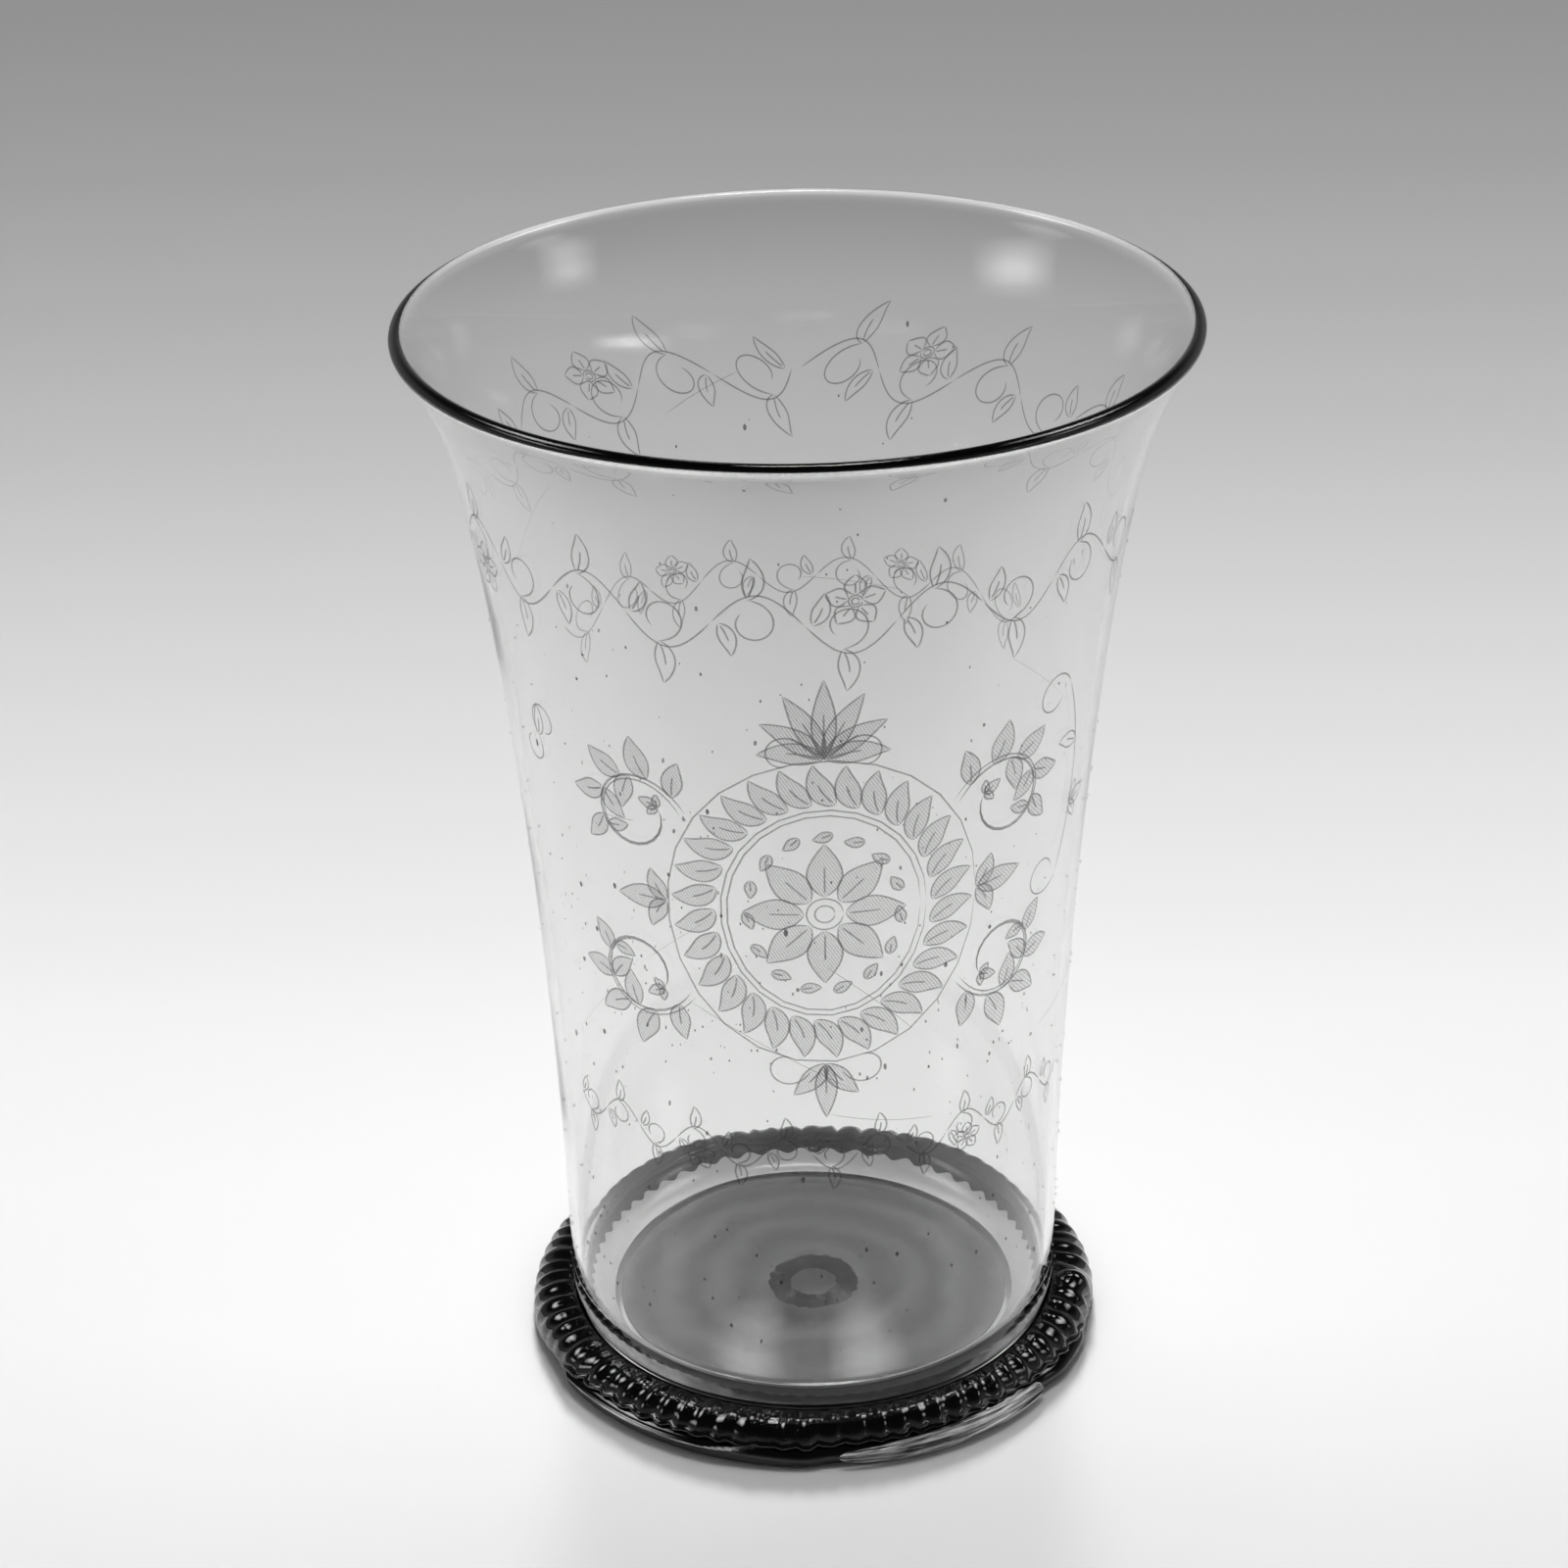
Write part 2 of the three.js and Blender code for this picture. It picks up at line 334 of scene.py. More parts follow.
def turned(name, profile, steps=256):
    """A profile of radius and height, spun round the beaker's axis."""
    bpy.ops.object.select_all(action="DESELECT")
    bpy.ops.mesh.primitive_circle_add(vertices=len(profile), radius=wall_foot_radius)
    piece = bpy.context.object
    piece.name = name
    place_all(piece, np.array([(radius, 0, z) for radius, z in profile]))
    bpy.ops.object.mode_set(mode="EDIT")
    bpy.ops.mesh.select_all(action="SELECT")
    bpy.ops.mesh.spin(steps=steps, angle=2 * math.pi, center=(0, 0, 0), axis=(0, 0, 1))
    bpy.ops.object.mode_set(mode="OBJECT")
    closed_and_smooth(piece)
    return piece


def arc(middle, reach, angles):
    """Points of radius and height on an arc round a middle."""
    return [(middle[0] + reach * math.cos(a), middle[1] + reach * math.sin(a)) for a in angles]


def waves(turn, z, seed, length=0.06, count=5):
    """Uneven swells between about -1 and 1 over the wall, which close on themselves round it."""
    draw = np.random.default_rng(seed)
    swell = np.zeros_like(turn)
    for _ in range(count):
        around = draw.integers(1, 6)
        swell += np.sin(around * turn + draw.uniform(0, 2 * math.pi)
                        + z / length * draw.uniform(0.4, 2.0) * 2 * math.pi)
    return swell / count


def smooth_step(value, low, high):
    share = np.clip((value - low) / (high - low), 0, 1)
    return share * share * (3 - 2 * share)


inner_centre = float(wall_radius(corner_top)) - wall_thickness - inner_corner_radius
inner_top = float(underside_at(inner_centre)) + floor_thickness + inner_corner_radius
corner_angles = np.radians(np.linspace(-90, 0, corner_steps))
wall_heights = np.concatenate([np.linspace(inner_top, flare_start, wall_steps)[1:],
                               np.linspace(flare_start, lip_centre, flare_steps)[1:]])
outer_wall, inner_wall = wall_sides(wall_heights)
lip_middle = (outer_wall[-1] + inner_wall[-1]) / 2
lip_lean = math.atan2(outer_wall[-1][1] - lip_middle[1], outer_wall[-1][0] - lip_middle[0])
lip_angles = np.linspace(lip_lean, lip_lean + math.pi, lip_steps)[1:-1]
bowl = turned("blown_bowl", (
    [(r, underside_at(r)) for r in np.linspace(0, corner_centre, floor_steps)[:-1]]
    + arc((corner_centre, corner_top), corner_radius, corner_angles)
    + list(outer_wall)
    + arc(lip_middle, lip_half, lip_angles)
    + list(inner_wall[::-1])
    + arc((inner_centre, inner_top), inner_corner_radius, corner_angles[::-1])
    + [(r, underside_at(r) + floor_thickness) for r in np.linspace(0, inner_centre, floor_steps)[-2::-1]]
))
places = places_of(bowl)
radius = np.hypot(places[:, 0], places[:, 1])
turn = np.arctan2(places[:, 1], places[:, 0])
is_inside = radius < outside_at(places[:, 2]) - wall_thickness / 2
swell_share = smooth_step(places[:, 2], *swell_starts) * (1 - smooth_step(places[:, 2], *swell_ends))
swell = np.where(is_inside, waves(turn, places[:, 2], 3), waves(turn, places[:, 2], 4))
swell = swell_share * swell * np.where(is_inside, inner_swell, outer_swell)
stretch = 1 + swell / np.maximum(radius, 0.001)
places[:, 0] *= stretch
places[:, 1] *= stretch
place_all(bowl, places)


def glass(name, colour, shadow, roughness=0.0, ior=1.5):
    """Glass with plain shadows: light from a lamp goes straight through and takes the shadow's tone."""
    made = bpy.data.materials.new(name)
    tree = emptied(made)
    body = tree.node("BsdfPrincipled", inputs={
        "Base Color": (*colour, 1), "Roughness": roughness, "IOR": ior, "Transmission Weight": 1.0,
    })
    plain = tree.node("BsdfTransparent", inputs={"Color": (*shadow, 1)})
    is_shadow = tree.node("LightPath", output="Is Shadow Ray")
    mixed = tree.node("MixShader", inputs={0: is_shadow, 1: body, 2: plain})
    tree.node("OutputMaterial", inputs={"Surface": mixed})
    return made


clear_glass = glass("clear_seedy_glass", (0.91, 0.915, 0.91), shadow=(0.93, 0.93, 0.93))
bowl.data.materials.append(clear_glass)

# The seam under the bowl's corner, where the hot threads melt into it and leave a skin of their own glass.
# It is dark where the trail is fused on, in strokes as wide as the ribs. Below that its colour is painted
# light and shade: pale at the back for the light that the corner mirrors there, and dark in front for the
# shade inside the dark foot.
skin_inner = 0.0284
skin_top = 0.0062
skin_black = (0.012, 0.012, 0.013, 1)
# Painted light and shade: these tones run from dark in front, for the shade inside the dark foot, to pale at
# the back, for light that the corner mirrors.
painted_light_tones = ((0.0, 0.015), (0.12, 0.02), (0.24, 0.25), (0.5, 0.4), (1.0, 0.7))
painted_light_slope = 14.0
skin_lean = -2.0
skin_cloudiness = 0.2
trail_bottom = 0.0046
rib_count = 78
stroke_depth = 0.0003
stroke_lean = 900.0
skin_with_painted_light = bpy.data.materials.new("skin_with_painted_light")
tree = emptied(skin_with_painted_light)
place = tree.node("TexCoord", output="Object")
skin_x, skin_y, skin_z = tree.parts(place)
skin_turn = tree.maths("ARCTAN2", skin_y, skin_x)
strokes = tree.maths("SINE", skin_turn * float(rib_count) + skin_x * stroke_lean) * stroke_depth
cloudy = tree.node("TexNoise", inputs={"Vector": place, "Scale": 300.0, "Detail": 3.0}) - 0.5
# Painted light: the tone rises towards the back, so the skin is painted pale behind and dark in front.
painted_back_light = skin_y * painted_light_slope + skin_x * skin_lean + cloudy * skin_cloudiness + 0.5
painted_light_tone = tree.node("ValToRGB", {"stops": painted_light_tones}, {0: painted_back_light})
is_trail = tree.maths("GREATER_THAN", skin_z + strokes, trail_bottom)
skin_tone = tree.node("Mix", {"data_type": "RGBA"}, {0: is_trail, 6: painted_light_tone, 7: skin_black}, output=2)
body = tree.node("BsdfPrincipled", inputs={"Base Color": skin_tone, "Roughness": 0.3})
tree.node("OutputMaterial", inputs={"Surface": body})
bowl.data.materials.append(skin_with_painted_light)
# Faces under the corner take the skin with its painted light and shade.
for face in bowl.data.polygons:
    middle = face.center
    away = math.hypot(middle.x, middle.y)
    is_outside = away > float(outside_at(middle.z)) - wall_thickness / 4
    if skin_inner < away and middle.z < skin_top and is_outside:
        face.material_index = 1
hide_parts("bowl")
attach(bowl, "root")

# The engraving: hair lines cut all round the cold wall with a diamond point. A flower in a wreath with
# scrolls takes the middle of the front, and vines run above it, below it and on the back. Only the leaves
# in the middle are hatched.
hair_width = 0.24
stem_width = 0.34
scratch_width = 0.09
engraving_lift = 0.00007
stroke_steps = 26
curl_power = 1.3
hair_lines = []
hatched_leaves = []


def curve(start, heading, length, bend=0.0, power=1.0):
    """Points in mm, as complex numbers along and up the wall: a path whose heading turns by bend over its
    length."""
    shares = np.linspace(0, 1, stroke_steps)
    ways = np.exp(1j * (heading + bend * shares ** power)) * length / (stroke_steps - 1)
    return start + np.concatenate([[0], np.cumsum((ways[1:] + ways[:-1]) / 2)])


def sideways_of(points):
    ways = np.gradient(points)
    return 1j * ways / np.maximum(np.abs(ways), 1e-9)


def line(points, width=hair_width):
    """A stroke that comes to a point at both ends."""
    steps = np.arange(len(points))
    ends = np.clip(np.minimum(steps, steps[::-1]) / 3, 0, 1)
    return points, width * np.sqrt(ends)


def tendril(start, heading, length, bend):
    """A hair line that curls in towards its end."""
    return line(curve(start, heading, length, bend, curl_power))


def leaf(base, heading, length, width, bend=0.0, is_hatched=False):
    """A leaf or a petal: its two edges, its vein and, where it is hatched, its filling."""
    vein = curve(base, heading, length, bend)
    half = width / 2 * np.sin(math.pi * np.linspace(0, 1, stroke_steps) ** 0.8)
    edges = sideways_of(vein) * half
    if is_hatched:
        hatched_leaves.append((vein, 2 * half))
    return [line(vein + edges), line(vein - edges), line(vein[2:-8].repeat(2)[:stroke_steps])]


def spray(base, heading, length, width, is_hatched=False):
    """Three leaves from one place, the middle one longest."""
    parts = leaf(base, heading, length, width, 0.2, is_hatched)
    for side in (-1, 1):
        parts += leaf(base, heading + side * 0.75, length * 0.68, width * 0.75, side * 0.7, is_hatched)
    return parts


def ring(centre, across, up):
    turns = np.linspace(0, 2 * math.pi, stroke_steps)
    return line(centre + across * np.cos(turns) + 1j * up * np.sin(turns))


def rosette(centre, reach, petals, is_hatched=False):
    parts = [ring(centre, reach * 0.22, reach * 0.22), ring(centre, reach * 0.12, reach * 0.12)]
    for petal in range(petals):
        way = 2 * math.pi * petal / petals + math.pi / 2
        base = centre + reach * 0.24 * np.exp(1j * way)
        parts += leaf(base, way, reach * 0.76, reach * 3.4 / petals, 0.0, is_hatched)
    return parts


def vine(half_span, swing, wave, leaf_length, flower_every):
    """A waving stem with a curled tendril and a leaf in each hollow, and here and there a small flower."""
    parts = []
    along = np.linspace(0, 1, stroke_steps)
    for number, start in enumerate(np.arange(-half_span, half_span, wave / 2)):
        side = 1 if number % 2 else -1
        parts.append(line(start + along * wave / 2 + 1j * side * swing * np.sin(math.pi * along)))
        root = start + wave * 0.2 + 1j * side * swing * 0.85
        parts.append(tendril(root, side * -0.2, wave * 0.62, side * -5.4))
        parts += leaf(root, side * 1.1, leaf_length, leaf_length * 0.42, side * 0.8)
        parts += leaf(start + wave * 0.04, side * -0.9, leaf_length * 0.8, leaf_length * 0.34, side * -0.7)
        if number % flower_every == flower_every // 2:
            parts += rosette(start + wave * 0.27 - 1j * side * swing * 0.75, leaf_length * 0.62, 5)
    return parts


def engrave(strokes, turn, z, into):
    """Lays strokes on the wall round a place at a turn, in degrees, and a height."""
    for points, width in strokes:
        heights = z + points.imag * 0.001
        turns = math.radians(turn) + points.real * 0.001 / wall_radius(heights)
        slant = sideways_of(points) * width * 0.0005
        into.append((turns, heights, slant.real / wall_radius(heights), slant.imag))


def on_oval(half_sizes, way):
    across, up = half_sizes
    return across * math.cos(way) + 1j * up * math.sin(way)


# The medallion, in mm from its middle: a flower, rings, a wreath of two rows of leaves, four scrolls, a
# spray at each side, and at the top and the bottom a fan of leaves between two tendrils.
medallion_turn = -87
medallion_height = 0.0845
flower_reach = 10.5
flower_petals = 8
medallion_rings = ((12.4, 14.6), (13.2, 15.4), (20.4, 22.6))
wreath_leaves = 30
outer_wreath = (14.0, 16.2)
inner_wreath = (10.3, 12.0)
scroll_start = (17.5, 13.5)
scroll_length = 34
scroll_bend = -6.2
scroll_thickening = 0.8
side_spray_start = 20.5
tendril_start = (2, 24)
fan_start = 22.8
scroll_leaves = ((2, 5.5, 1), (5, 6.5, 1), (8, 6.0, 1), (11, 5.5, 1),
                 (14, 5, 1), (7, 5.5, -1), (11, 5.0, -1), (15, 3.5, -1))
top_leaves = ((0, 11.5), (0.4, 10.5), (-0.4, 10.5), (0.8, 9.5), (-0.8, 9.5), (1.2, 8.5), (-1.2, 8.5))
bottom_leaves = ((0, 8.5), (0.55, 6.5), (-0.55, 6.5))
medallion = rosette(0, flower_reach, flower_petals, True)
medallion += [ring(0, across, up) for across, up in medallion_rings]
for number in range(wreath_leaves):
    way = 2 * math.pi * number / wreath_leaves
    medallion += leaf(on_oval(outer_wreath, way), way + 1.0, 6.8, 3.1, -0.9, True)
    if number % 2:
        medallion += leaf(on_oval(inner_wreath, way), way + 2.2, 2.8, 1.5, -0.4, True)
for side in (-1, 1):
    outwards = 0 if side > 0 else math.pi
    for up in (-1, 1):
        turning = side * up
        base = side * scroll_start[0] + 1j * up * scroll_start[1]
        scroll = curve(base, outwards + turning, scroll_length, turning * scroll_bend, curl_power)
        inset = sideways_of(scroll) * scroll_thickening * np.linspace(1, 0, stroke_steps)
        medallion += [line(scroll, stem_width), line(scroll + inset)]
        for step, length, leaf_side in scroll_leaves:
            way = float(np.angle(scroll[step + 1] - scroll[step])) + leaf_side * turning * 0.75
            bend = leaf_side * turning * 0.6
            medallion += leaf(scroll[step], way, length, length * 0.52, bend, True)
        medallion += spray(scroll[-1], outwards + turning * 0.4, 3.0, 1.6, True)
    medallion += spray(side * side_spray_start, outwards, 7.5, 3.4, True)
    for up in (1, -1):
        base = side * tendril_start[0] + 1j * up * tendril_start[1]
        medallion.append(tendril(base, up * (math.pi / 2 - side * 0.5), 11, side * up * -4.6))
for up, leaves, width, bend in ((1, top_leaves, 3.0, 0.5), (-1, bottom_leaves, 2.8, 0.6)):
    for lean, length in leaves:
        medallion += leaf(1j * up * fan_start, up * math.pi / 2 + lean, length, width, lean * bend, True)
engrave(medallion, medallion_turn, medallion_height, hair_lines)
medallion_leaves = []
engrave(hatched_leaves, medallion_turn, medallion_height, medallion_leaves)

# The vines: the upper one goes nearly all the way round, the others are on the back and low in front. A tall
# scroll stands at the right and a small curl at the left, and wear has left a few scratches.
upper_vine = vine(half_span=135.0, swing=4.2, wave=22.5, leaf_length=6.2, flower_every=5)
engrave(upper_vine, -90, 0.1265, hair_lines)
back_vine = vine(half_span=38.0, swing=3.0, wave=17.0, leaf_length=4.6, flower_every=4)
engrave(back_vine, 92, 0.0985, hair_lines)
lower_vine = vine(half_span=37.0, swing=2.5, wave=12.3, leaf_length=3.7, flower_every=6)
engrave(lower_vine, -90, 0.0475, hair_lines)
tall_foot = -3 - 13j
tall_stem = curve(tall_foot, 1.2, 30, 0.9)
tall_scroll = [line(tall_stem), tendril(tall_stem[-1], 2.1, 15, 5.5), tendril(tall_foot, 4.0, 15, -5.5)]
tall_scroll += spray(tall_stem[8], 0.1, 5, 2.2) + leaf(tall_stem[16], 2.6, 5, 2.2, 0.5)
engrave(tall_scroll, -27, 0.093, hair_lines)
small_curl = [tendril(0, 2.2, 13, -5.5), tendril(0, -1.0, 10, -5.0)] + leaf(0, 1.2, 5, 2, 0.5)
engrave(small_curl, -148, 0.102, hair_lines)
scratch_count = 14
scratch_draw = np.random.default_rng(12)
for _ in range(scratch_count):
    slope = scratch_draw.uniform(-0.7, 0.2)
    length = scratch_draw.uniform(5, 26)
    scratch = curve(0, slope, length, scratch_draw.uniform(-0.2, 0.2))
    scratch_turn = scratch_draw.uniform(-180, 180)
    scratch_height = scratch_draw.uniform(0.035, 0.135)
    engrave([line(scratch, scratch_width)], scratch_turn, scratch_height, hair_lines)


def engraved(name, strokes, material):
    """All the strokes as one grid of two rows, wrapped on the wall. Each stroke's ends are points."""
    columns = len(strokes) * stroke_steps
    bpy.ops.object.select_all(action="DESELECT")
    bpy.ops.mesh.primitive_grid_add(x_subdivisions=columns - 1, y_subdivisions=1, size=2)
    piece = bpy.context.object
    piece.name = name
    corners = places_of(piece)
    column = np.rint((corners[:, 0] + 1) / 2 * (columns - 1)).astype(int)
    side = np.sign(corners[:, 1])
    turns, heights, turn_half, height_half = (
        np.concatenate([stroke[part] for stroke in strokes]) for part in range(4)
    )
    z = heights[column] + side * height_half[column]
    place_round(piece, wall_radius(z) + engraving_lift, turns[column] + side * turn_half[column], z)
    closed_and_smooth(piece)
    piece.data.materials.append(material)
    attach(piece, "root")


hatching = (15000.0, 0.0, 9000.0)


def roughened(name, tone, cover, hatch=0.0):
    """Glass that a point has roughened: it covers what lies behind it in part, in fine slanting lines."""
    made = bpy.data.materials.new(name)
    tree = emptied(made)
    place = tree.node("TexCoord", output="Object")
    across = tree.node("VectorMath", {"operation": "DOT_PRODUCT"}, {0: place, 1: hatching}, output="Value")
    alpha = tree.maths("SINE", across) * hatch + cover
    body = tree.node("BsdfPrincipled", inputs={
        "Base Color": (tone, tone, tone, 1), "Roughness": 0.6, "Specular IOR Level": 0.2, "Alpha": alpha,
    })
    tree.node("OutputMaterial", inputs={"Surface": body})
    return made


engraved("engraved_lines", hair_lines, roughened("engraved_line", 0.16, cover=0.55))
engraved("hatched_leaves", medallion_leaves, roughened("engraved_hatching", 0.34, cover=0.25, hatch=0.14))

# Seeds: small bubbles of air that stayed in the melted glass, more of them low in the wall. Blowing the
# bowl has drawn them out upwards.
seed_count = 560
seed_sizes_mm = (0.06, 0.17)
seed_lengths = (1.0, 2.1)
seed_lowest = 0.014
seed_reach = 0.124
seed_flatness = 0.00004
seed_spacing = 4
seed_draw = np.random.default_rng(5)
bpy.ops.object.select_all(action="DESELECT")
bpy.ops.mesh.primitive_uv_sphere_add(segments=8, ring_count=5, radius=1)
seeds = bpy.context.object
seeds.name = "seeds"
seed_corners = len(seeds.data.vertices)
copies = seeds.modifiers.new("copies", "ARRAY")
copies.count = seed_count
copies.use_relative_offset = False
copies.use_constant_offset = True
copies.constant_offset_displace = (seed_spacing, 0, 0)
bpy.ops.object.modifier_apply(modifier="copies")
places = places_of(seeds)
number = np.arange(len(places)) // seed_corners
places[:, 0] -= seed_spacing * number
seed_size = 0.001 * seed_draw.uniform(*seed_sizes_mm, seed_count)
seed_size = seed_size * seed_draw.choice([1, 1, 1, 1.7], seed_count)
seed_z = seed_lowest + seed_reach * seed_draw.beta(1.1, 1.9, seed_count)
seed_turn = seed_draw.uniform(-math.pi, math.pi, seed_count)
seed_length = seed_draw.uniform(*seed_lengths, seed_count)
z = seed_z[number] + places[:, 2] * seed_size[number] * seed_length[number]
turn = seed_turn[number] + places[:, 1] * seed_size[number] / wall_radius(z)
place_round(seeds, wall_radius(z) + engraving_lift + seed_flatness * (1 + places[:, 0]), turn, z)
closed_and_smooth(seeds)
seeds.data.materials.append(roughened("seed", 0.05, cover=0.5))
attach(seeds, "root")

# The base pad: a thin disc of dark glass, pressed hot on the underside of the floor. It shows through the
# floor as a grey disc with faint rings, pale in the middle.
seat_gap = 0.0003
pad_radius = wall_foot_radius - 0.0064
pad_thickness = 0.0013
pad_tones = ((0.2, 0.31), (0.5, 0.38), (0.8, 0.45))
pad_rings = 900.0
pad_ring_drift = 7.0
pad_ring_start = 4.2
pad_angles = np.radians(np.linspace(-90, 90, 9))[1:-1]
pad_radii = np.linspace(0, pad_radius - pad_thickness / 2, 40)
pad_edge = pad_radii[-1]
pad_middle = float(underside_at(pad_edge, seat_gap)) - pad_thickness / 2
base_pad = turned("base_pad_disc", (
    [(r, float(underside_at(r, seat_gap)) - pad_thickness) for r in pad_radii]
    + arc((pad_edge, pad_middle), pad_thickness / 2, pad_angles)
    + [(r, float(underside_at(r, seat_gap))) for r in pad_radii[::-1]]
))
pad_glass = glass("grey_pad_glass", (0.38, 0.38, 0.39), shadow=(0.6, 0.6, 0.6), roughness=0.03)
tree = Socket(pad_glass.node_tree)
place = tree.node("TexCoord", output="Object")
cloudy = tree.node("TexNoise", inputs={"Vector": place, "Scale": 70.0, "Detail": 4.0, "Distortion": 1.5})
away = tree.node("VectorMath", {"operation": "LENGTH"}, {0: place}, output="Value")
rings = tree.maths("SINE", away * pad_rings + cloudy * pad_ring_drift + pad_ring_start) * 0.5 + 0.5
pad_tone = tree.node("ValToRGB", {"stops": pad_tones}, {0: rings * 0.5 + cloudy * 0.5})


def tint(material, tone):
    """Gives a glass a colour that changes over the piece."""
    body = next(node for node in material.node_tree.nodes if node.type == "BSDF_PRINCIPLED")
    material.node_tree.links.new(tone.output, body.inputs["Base Color"])


tint(pad_glass, pad_tone)
base_pad.data.materials.append(pad_glass)
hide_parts("base_pad")
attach(base_pad, "root")

# The pontil scar: the ring of broken glass that the pontil rod left under the middle of the pad, when the
# finished beaker was cracked off it.
scar_middle = 0.00475
scar_half_width = 0.0015
scar_half_height = 0.00032
scar_outer = 0.0065
scar_clearance = 0.00042
scar_roughness = 0.3
scar_tones = ((0.38, 0.04), (0.52, 0.2), (0.64, 0.8))
scar_lift = float(underside_at(scar_outer, seat_gap)) - pad_thickness - seat_gap - scar_clearance
start_radius = 0.04
start_thickness = 0.002


def wound(name, section, around, across):
    """A ring whose section is a function of the turn and of the share of the way round the section."""
    bpy.ops.object.select_all(action="DESELECT")
    bpy.ops.mesh.primitive_torus_add(
        major_segments=around, minor_segments=across,
        major_radius=start_radius, minor_radius=start_thickness,
    )
    piece = bpy.context.object
    piece.name = name
    places = places_of(piece)
    turn = np.arctan2(places[:, 1], places[:, 0])
    angle = np.arctan2(places[:, 2], np.hypot(places[:, 0], places[:, 1]) - start_radius)
    share = np.round(np.mod(angle / (2 * math.pi), 1) * across) / across
    radius, z = section(turn, np.mod(share, 1))
    place_round(piece, radius, turn, z)
    closed_and_smooth(piece)
    return piece


def scar_section(turn, share):
    angle = share * 2 * math.pi
    rough = waves(turn * 4, share * 0.02, 8) * scar_roughness
    return (scar_middle + scar_half_width * ((1 + rough) * np.cos(angle) + rough * 0.4),
            scar_lift + scar_half_height * (1 + rough * 0.3) * np.sin(angle))


scar = wound("pontil_scar_ring", scar_section, around=180, across=24)
scar_glass = glass("dark_scar_glass", (0.2, 0.2, 0.21), shadow=(0.6, 0.6, 0.6), roughness=0.25)
tree = Socket(scar_glass.node_tree)
place = tree.node("TexCoord", output="Object")
broken = tree.node("TexNoise", inputs={"Vector": place, "Scale": 520.0, "Detail": 3.0, "Distortion": 0.8})
tint(scar_glass, tree.node("ValToRGB", {"stops": scar_tones}, {0: broken}))
scar.data.materials.append(scar_glass)
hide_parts("pontil_scar")
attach(scar, "root")

# The plain foot thread, on which the beaker stands: one thick wind of nearly black glass, laid hot round
# the bowl's corner. It is squarer at the front left, where it was pressed and has a thin ridge whose pale
# streaky colour is partly a painted highlight, narrower under the skirt, and flattened where its own tail
# lies over it.
foot_radius = wall_foot_radius + 0.0059
thread_inner = wall_foot_radius - 0.0007
thread_centre = (foot_radius + thread_inner) / 2
thread_half_width = (foot_radius - thread_inner) / 2
thread_height = 0.0029
thread_flat = math.radians(-45)
thread_rise = thread_height / (1 - math.sin(thread_flat))
thread_middle = thread_height - thread_rise
skirt_thickness = 0.0013
skirt_low = math.radians(-18)
skirt_high = math.radians(58)
skirt_round = math.radians(6)
front_turn = math.radians(-84)
front_half_span = math.radians(56)
front_fade = math.radians(30)
tail_start = math.radians(-86)
tail_end = math.radians(-38)
tail_press = 0.0008
tail_press_fade = math.radians(8)
square_turn = math.radians(-130)
square_half_span = math.radians(22)
square_fade = math.radians(20)
squareness = 0.3
ridge_turn = math.radians(-128)
ridge_half_span = math.radians(24)
ridge_fade = math.radians(8)
ridge_rise = 0.0003
ridge_sharpness = 0.1
ridge_half_width = math.radians(5)
ridge_low = math.radians(24)
ridge_climb = math.radians(40)
climb_start = math.radians(-114)
climb_end = math.radians(-97)


def stretch_share(turn, middle, half_span, fade):
    """1 along a stretch of the ring, and fading to 0 beyond its ends."""
    away = np.abs(np.mod(turn - middle + math.pi, 2 * math.pi) - math.pi)
    return 1 - smooth_step(away, half_span, half_span + fade)


def front_share(turn):
    return stretch_share(turn, front_turn, front_half_span, front_fade)


def skirt_angle(turn):
    return skirt_low + (skirt_high - skirt_low) * front_share(turn)


def thread_point(angle, turn, grow):
    """A place on the plain thread, or a distance outside it. Its section is an oval between the bowl's
    wall and the skirt."""
    reach = np.cos(np.maximum(skirt_angle(turn) + skirt_round, 0))
    covered = foot_radius - (seat_gap + skirt_thickness) * reach
    tail_half_span = (tail_end - tail_start) / 2
    pressed = stretch_share(turn, (tail_start + tail_end) / 2, tail_half_span, tail_press_fade)
    outer = np.minimum(foot_radius, (2 * covered - thread_inner * (1 - reach)) / (1 + reach))
    outer = outer - tail_press * pressed
    square = squareness * stretch_share(turn, square_turn, square_half_span, square_fade)
    is_outer_top = (np.cos(angle) > 0) * (np.sin(angle) > 0)
    diagonal = 1 + square * np.sin(2 * angle) ** 2 * 0.5 * is_outer_top
    return ((outer + thread_inner) / 2 + ((outer - thread_inner) / 2 * diagonal + grow) * np.cos(angle),
            thread_middle + (thread_rise * diagonal + grow) * np.sin(angle))


def ridge_angle(turn):
    return ridge_low + ridge_climb * smooth_step(turn, climb_start, climb_end)


def thread_section(turn, share):
    angle = share * 2 * math.pi
    along = stretch_share(turn, ridge_turn, ridge_half_span, ridge_fade)
    at_ridge = np.exp(-((angle - ridge_angle(turn)) / ridge_sharpness) ** 2)
    radius, z = thread_point(angle, turn, ridge_rise * along * at_ridge)
    return radius, np.maximum(z, 0)


foot_thread = wound("plain_foot_thread", thread_section, around=720, across=120)
dark_glass = glass("dark_glass", (0.012, 0.012, 0.013), shadow=(0.03, 0.03, 0.03), roughness=0.02, ior=1.6)
foot_thread.data.materials.append(dark_glass)
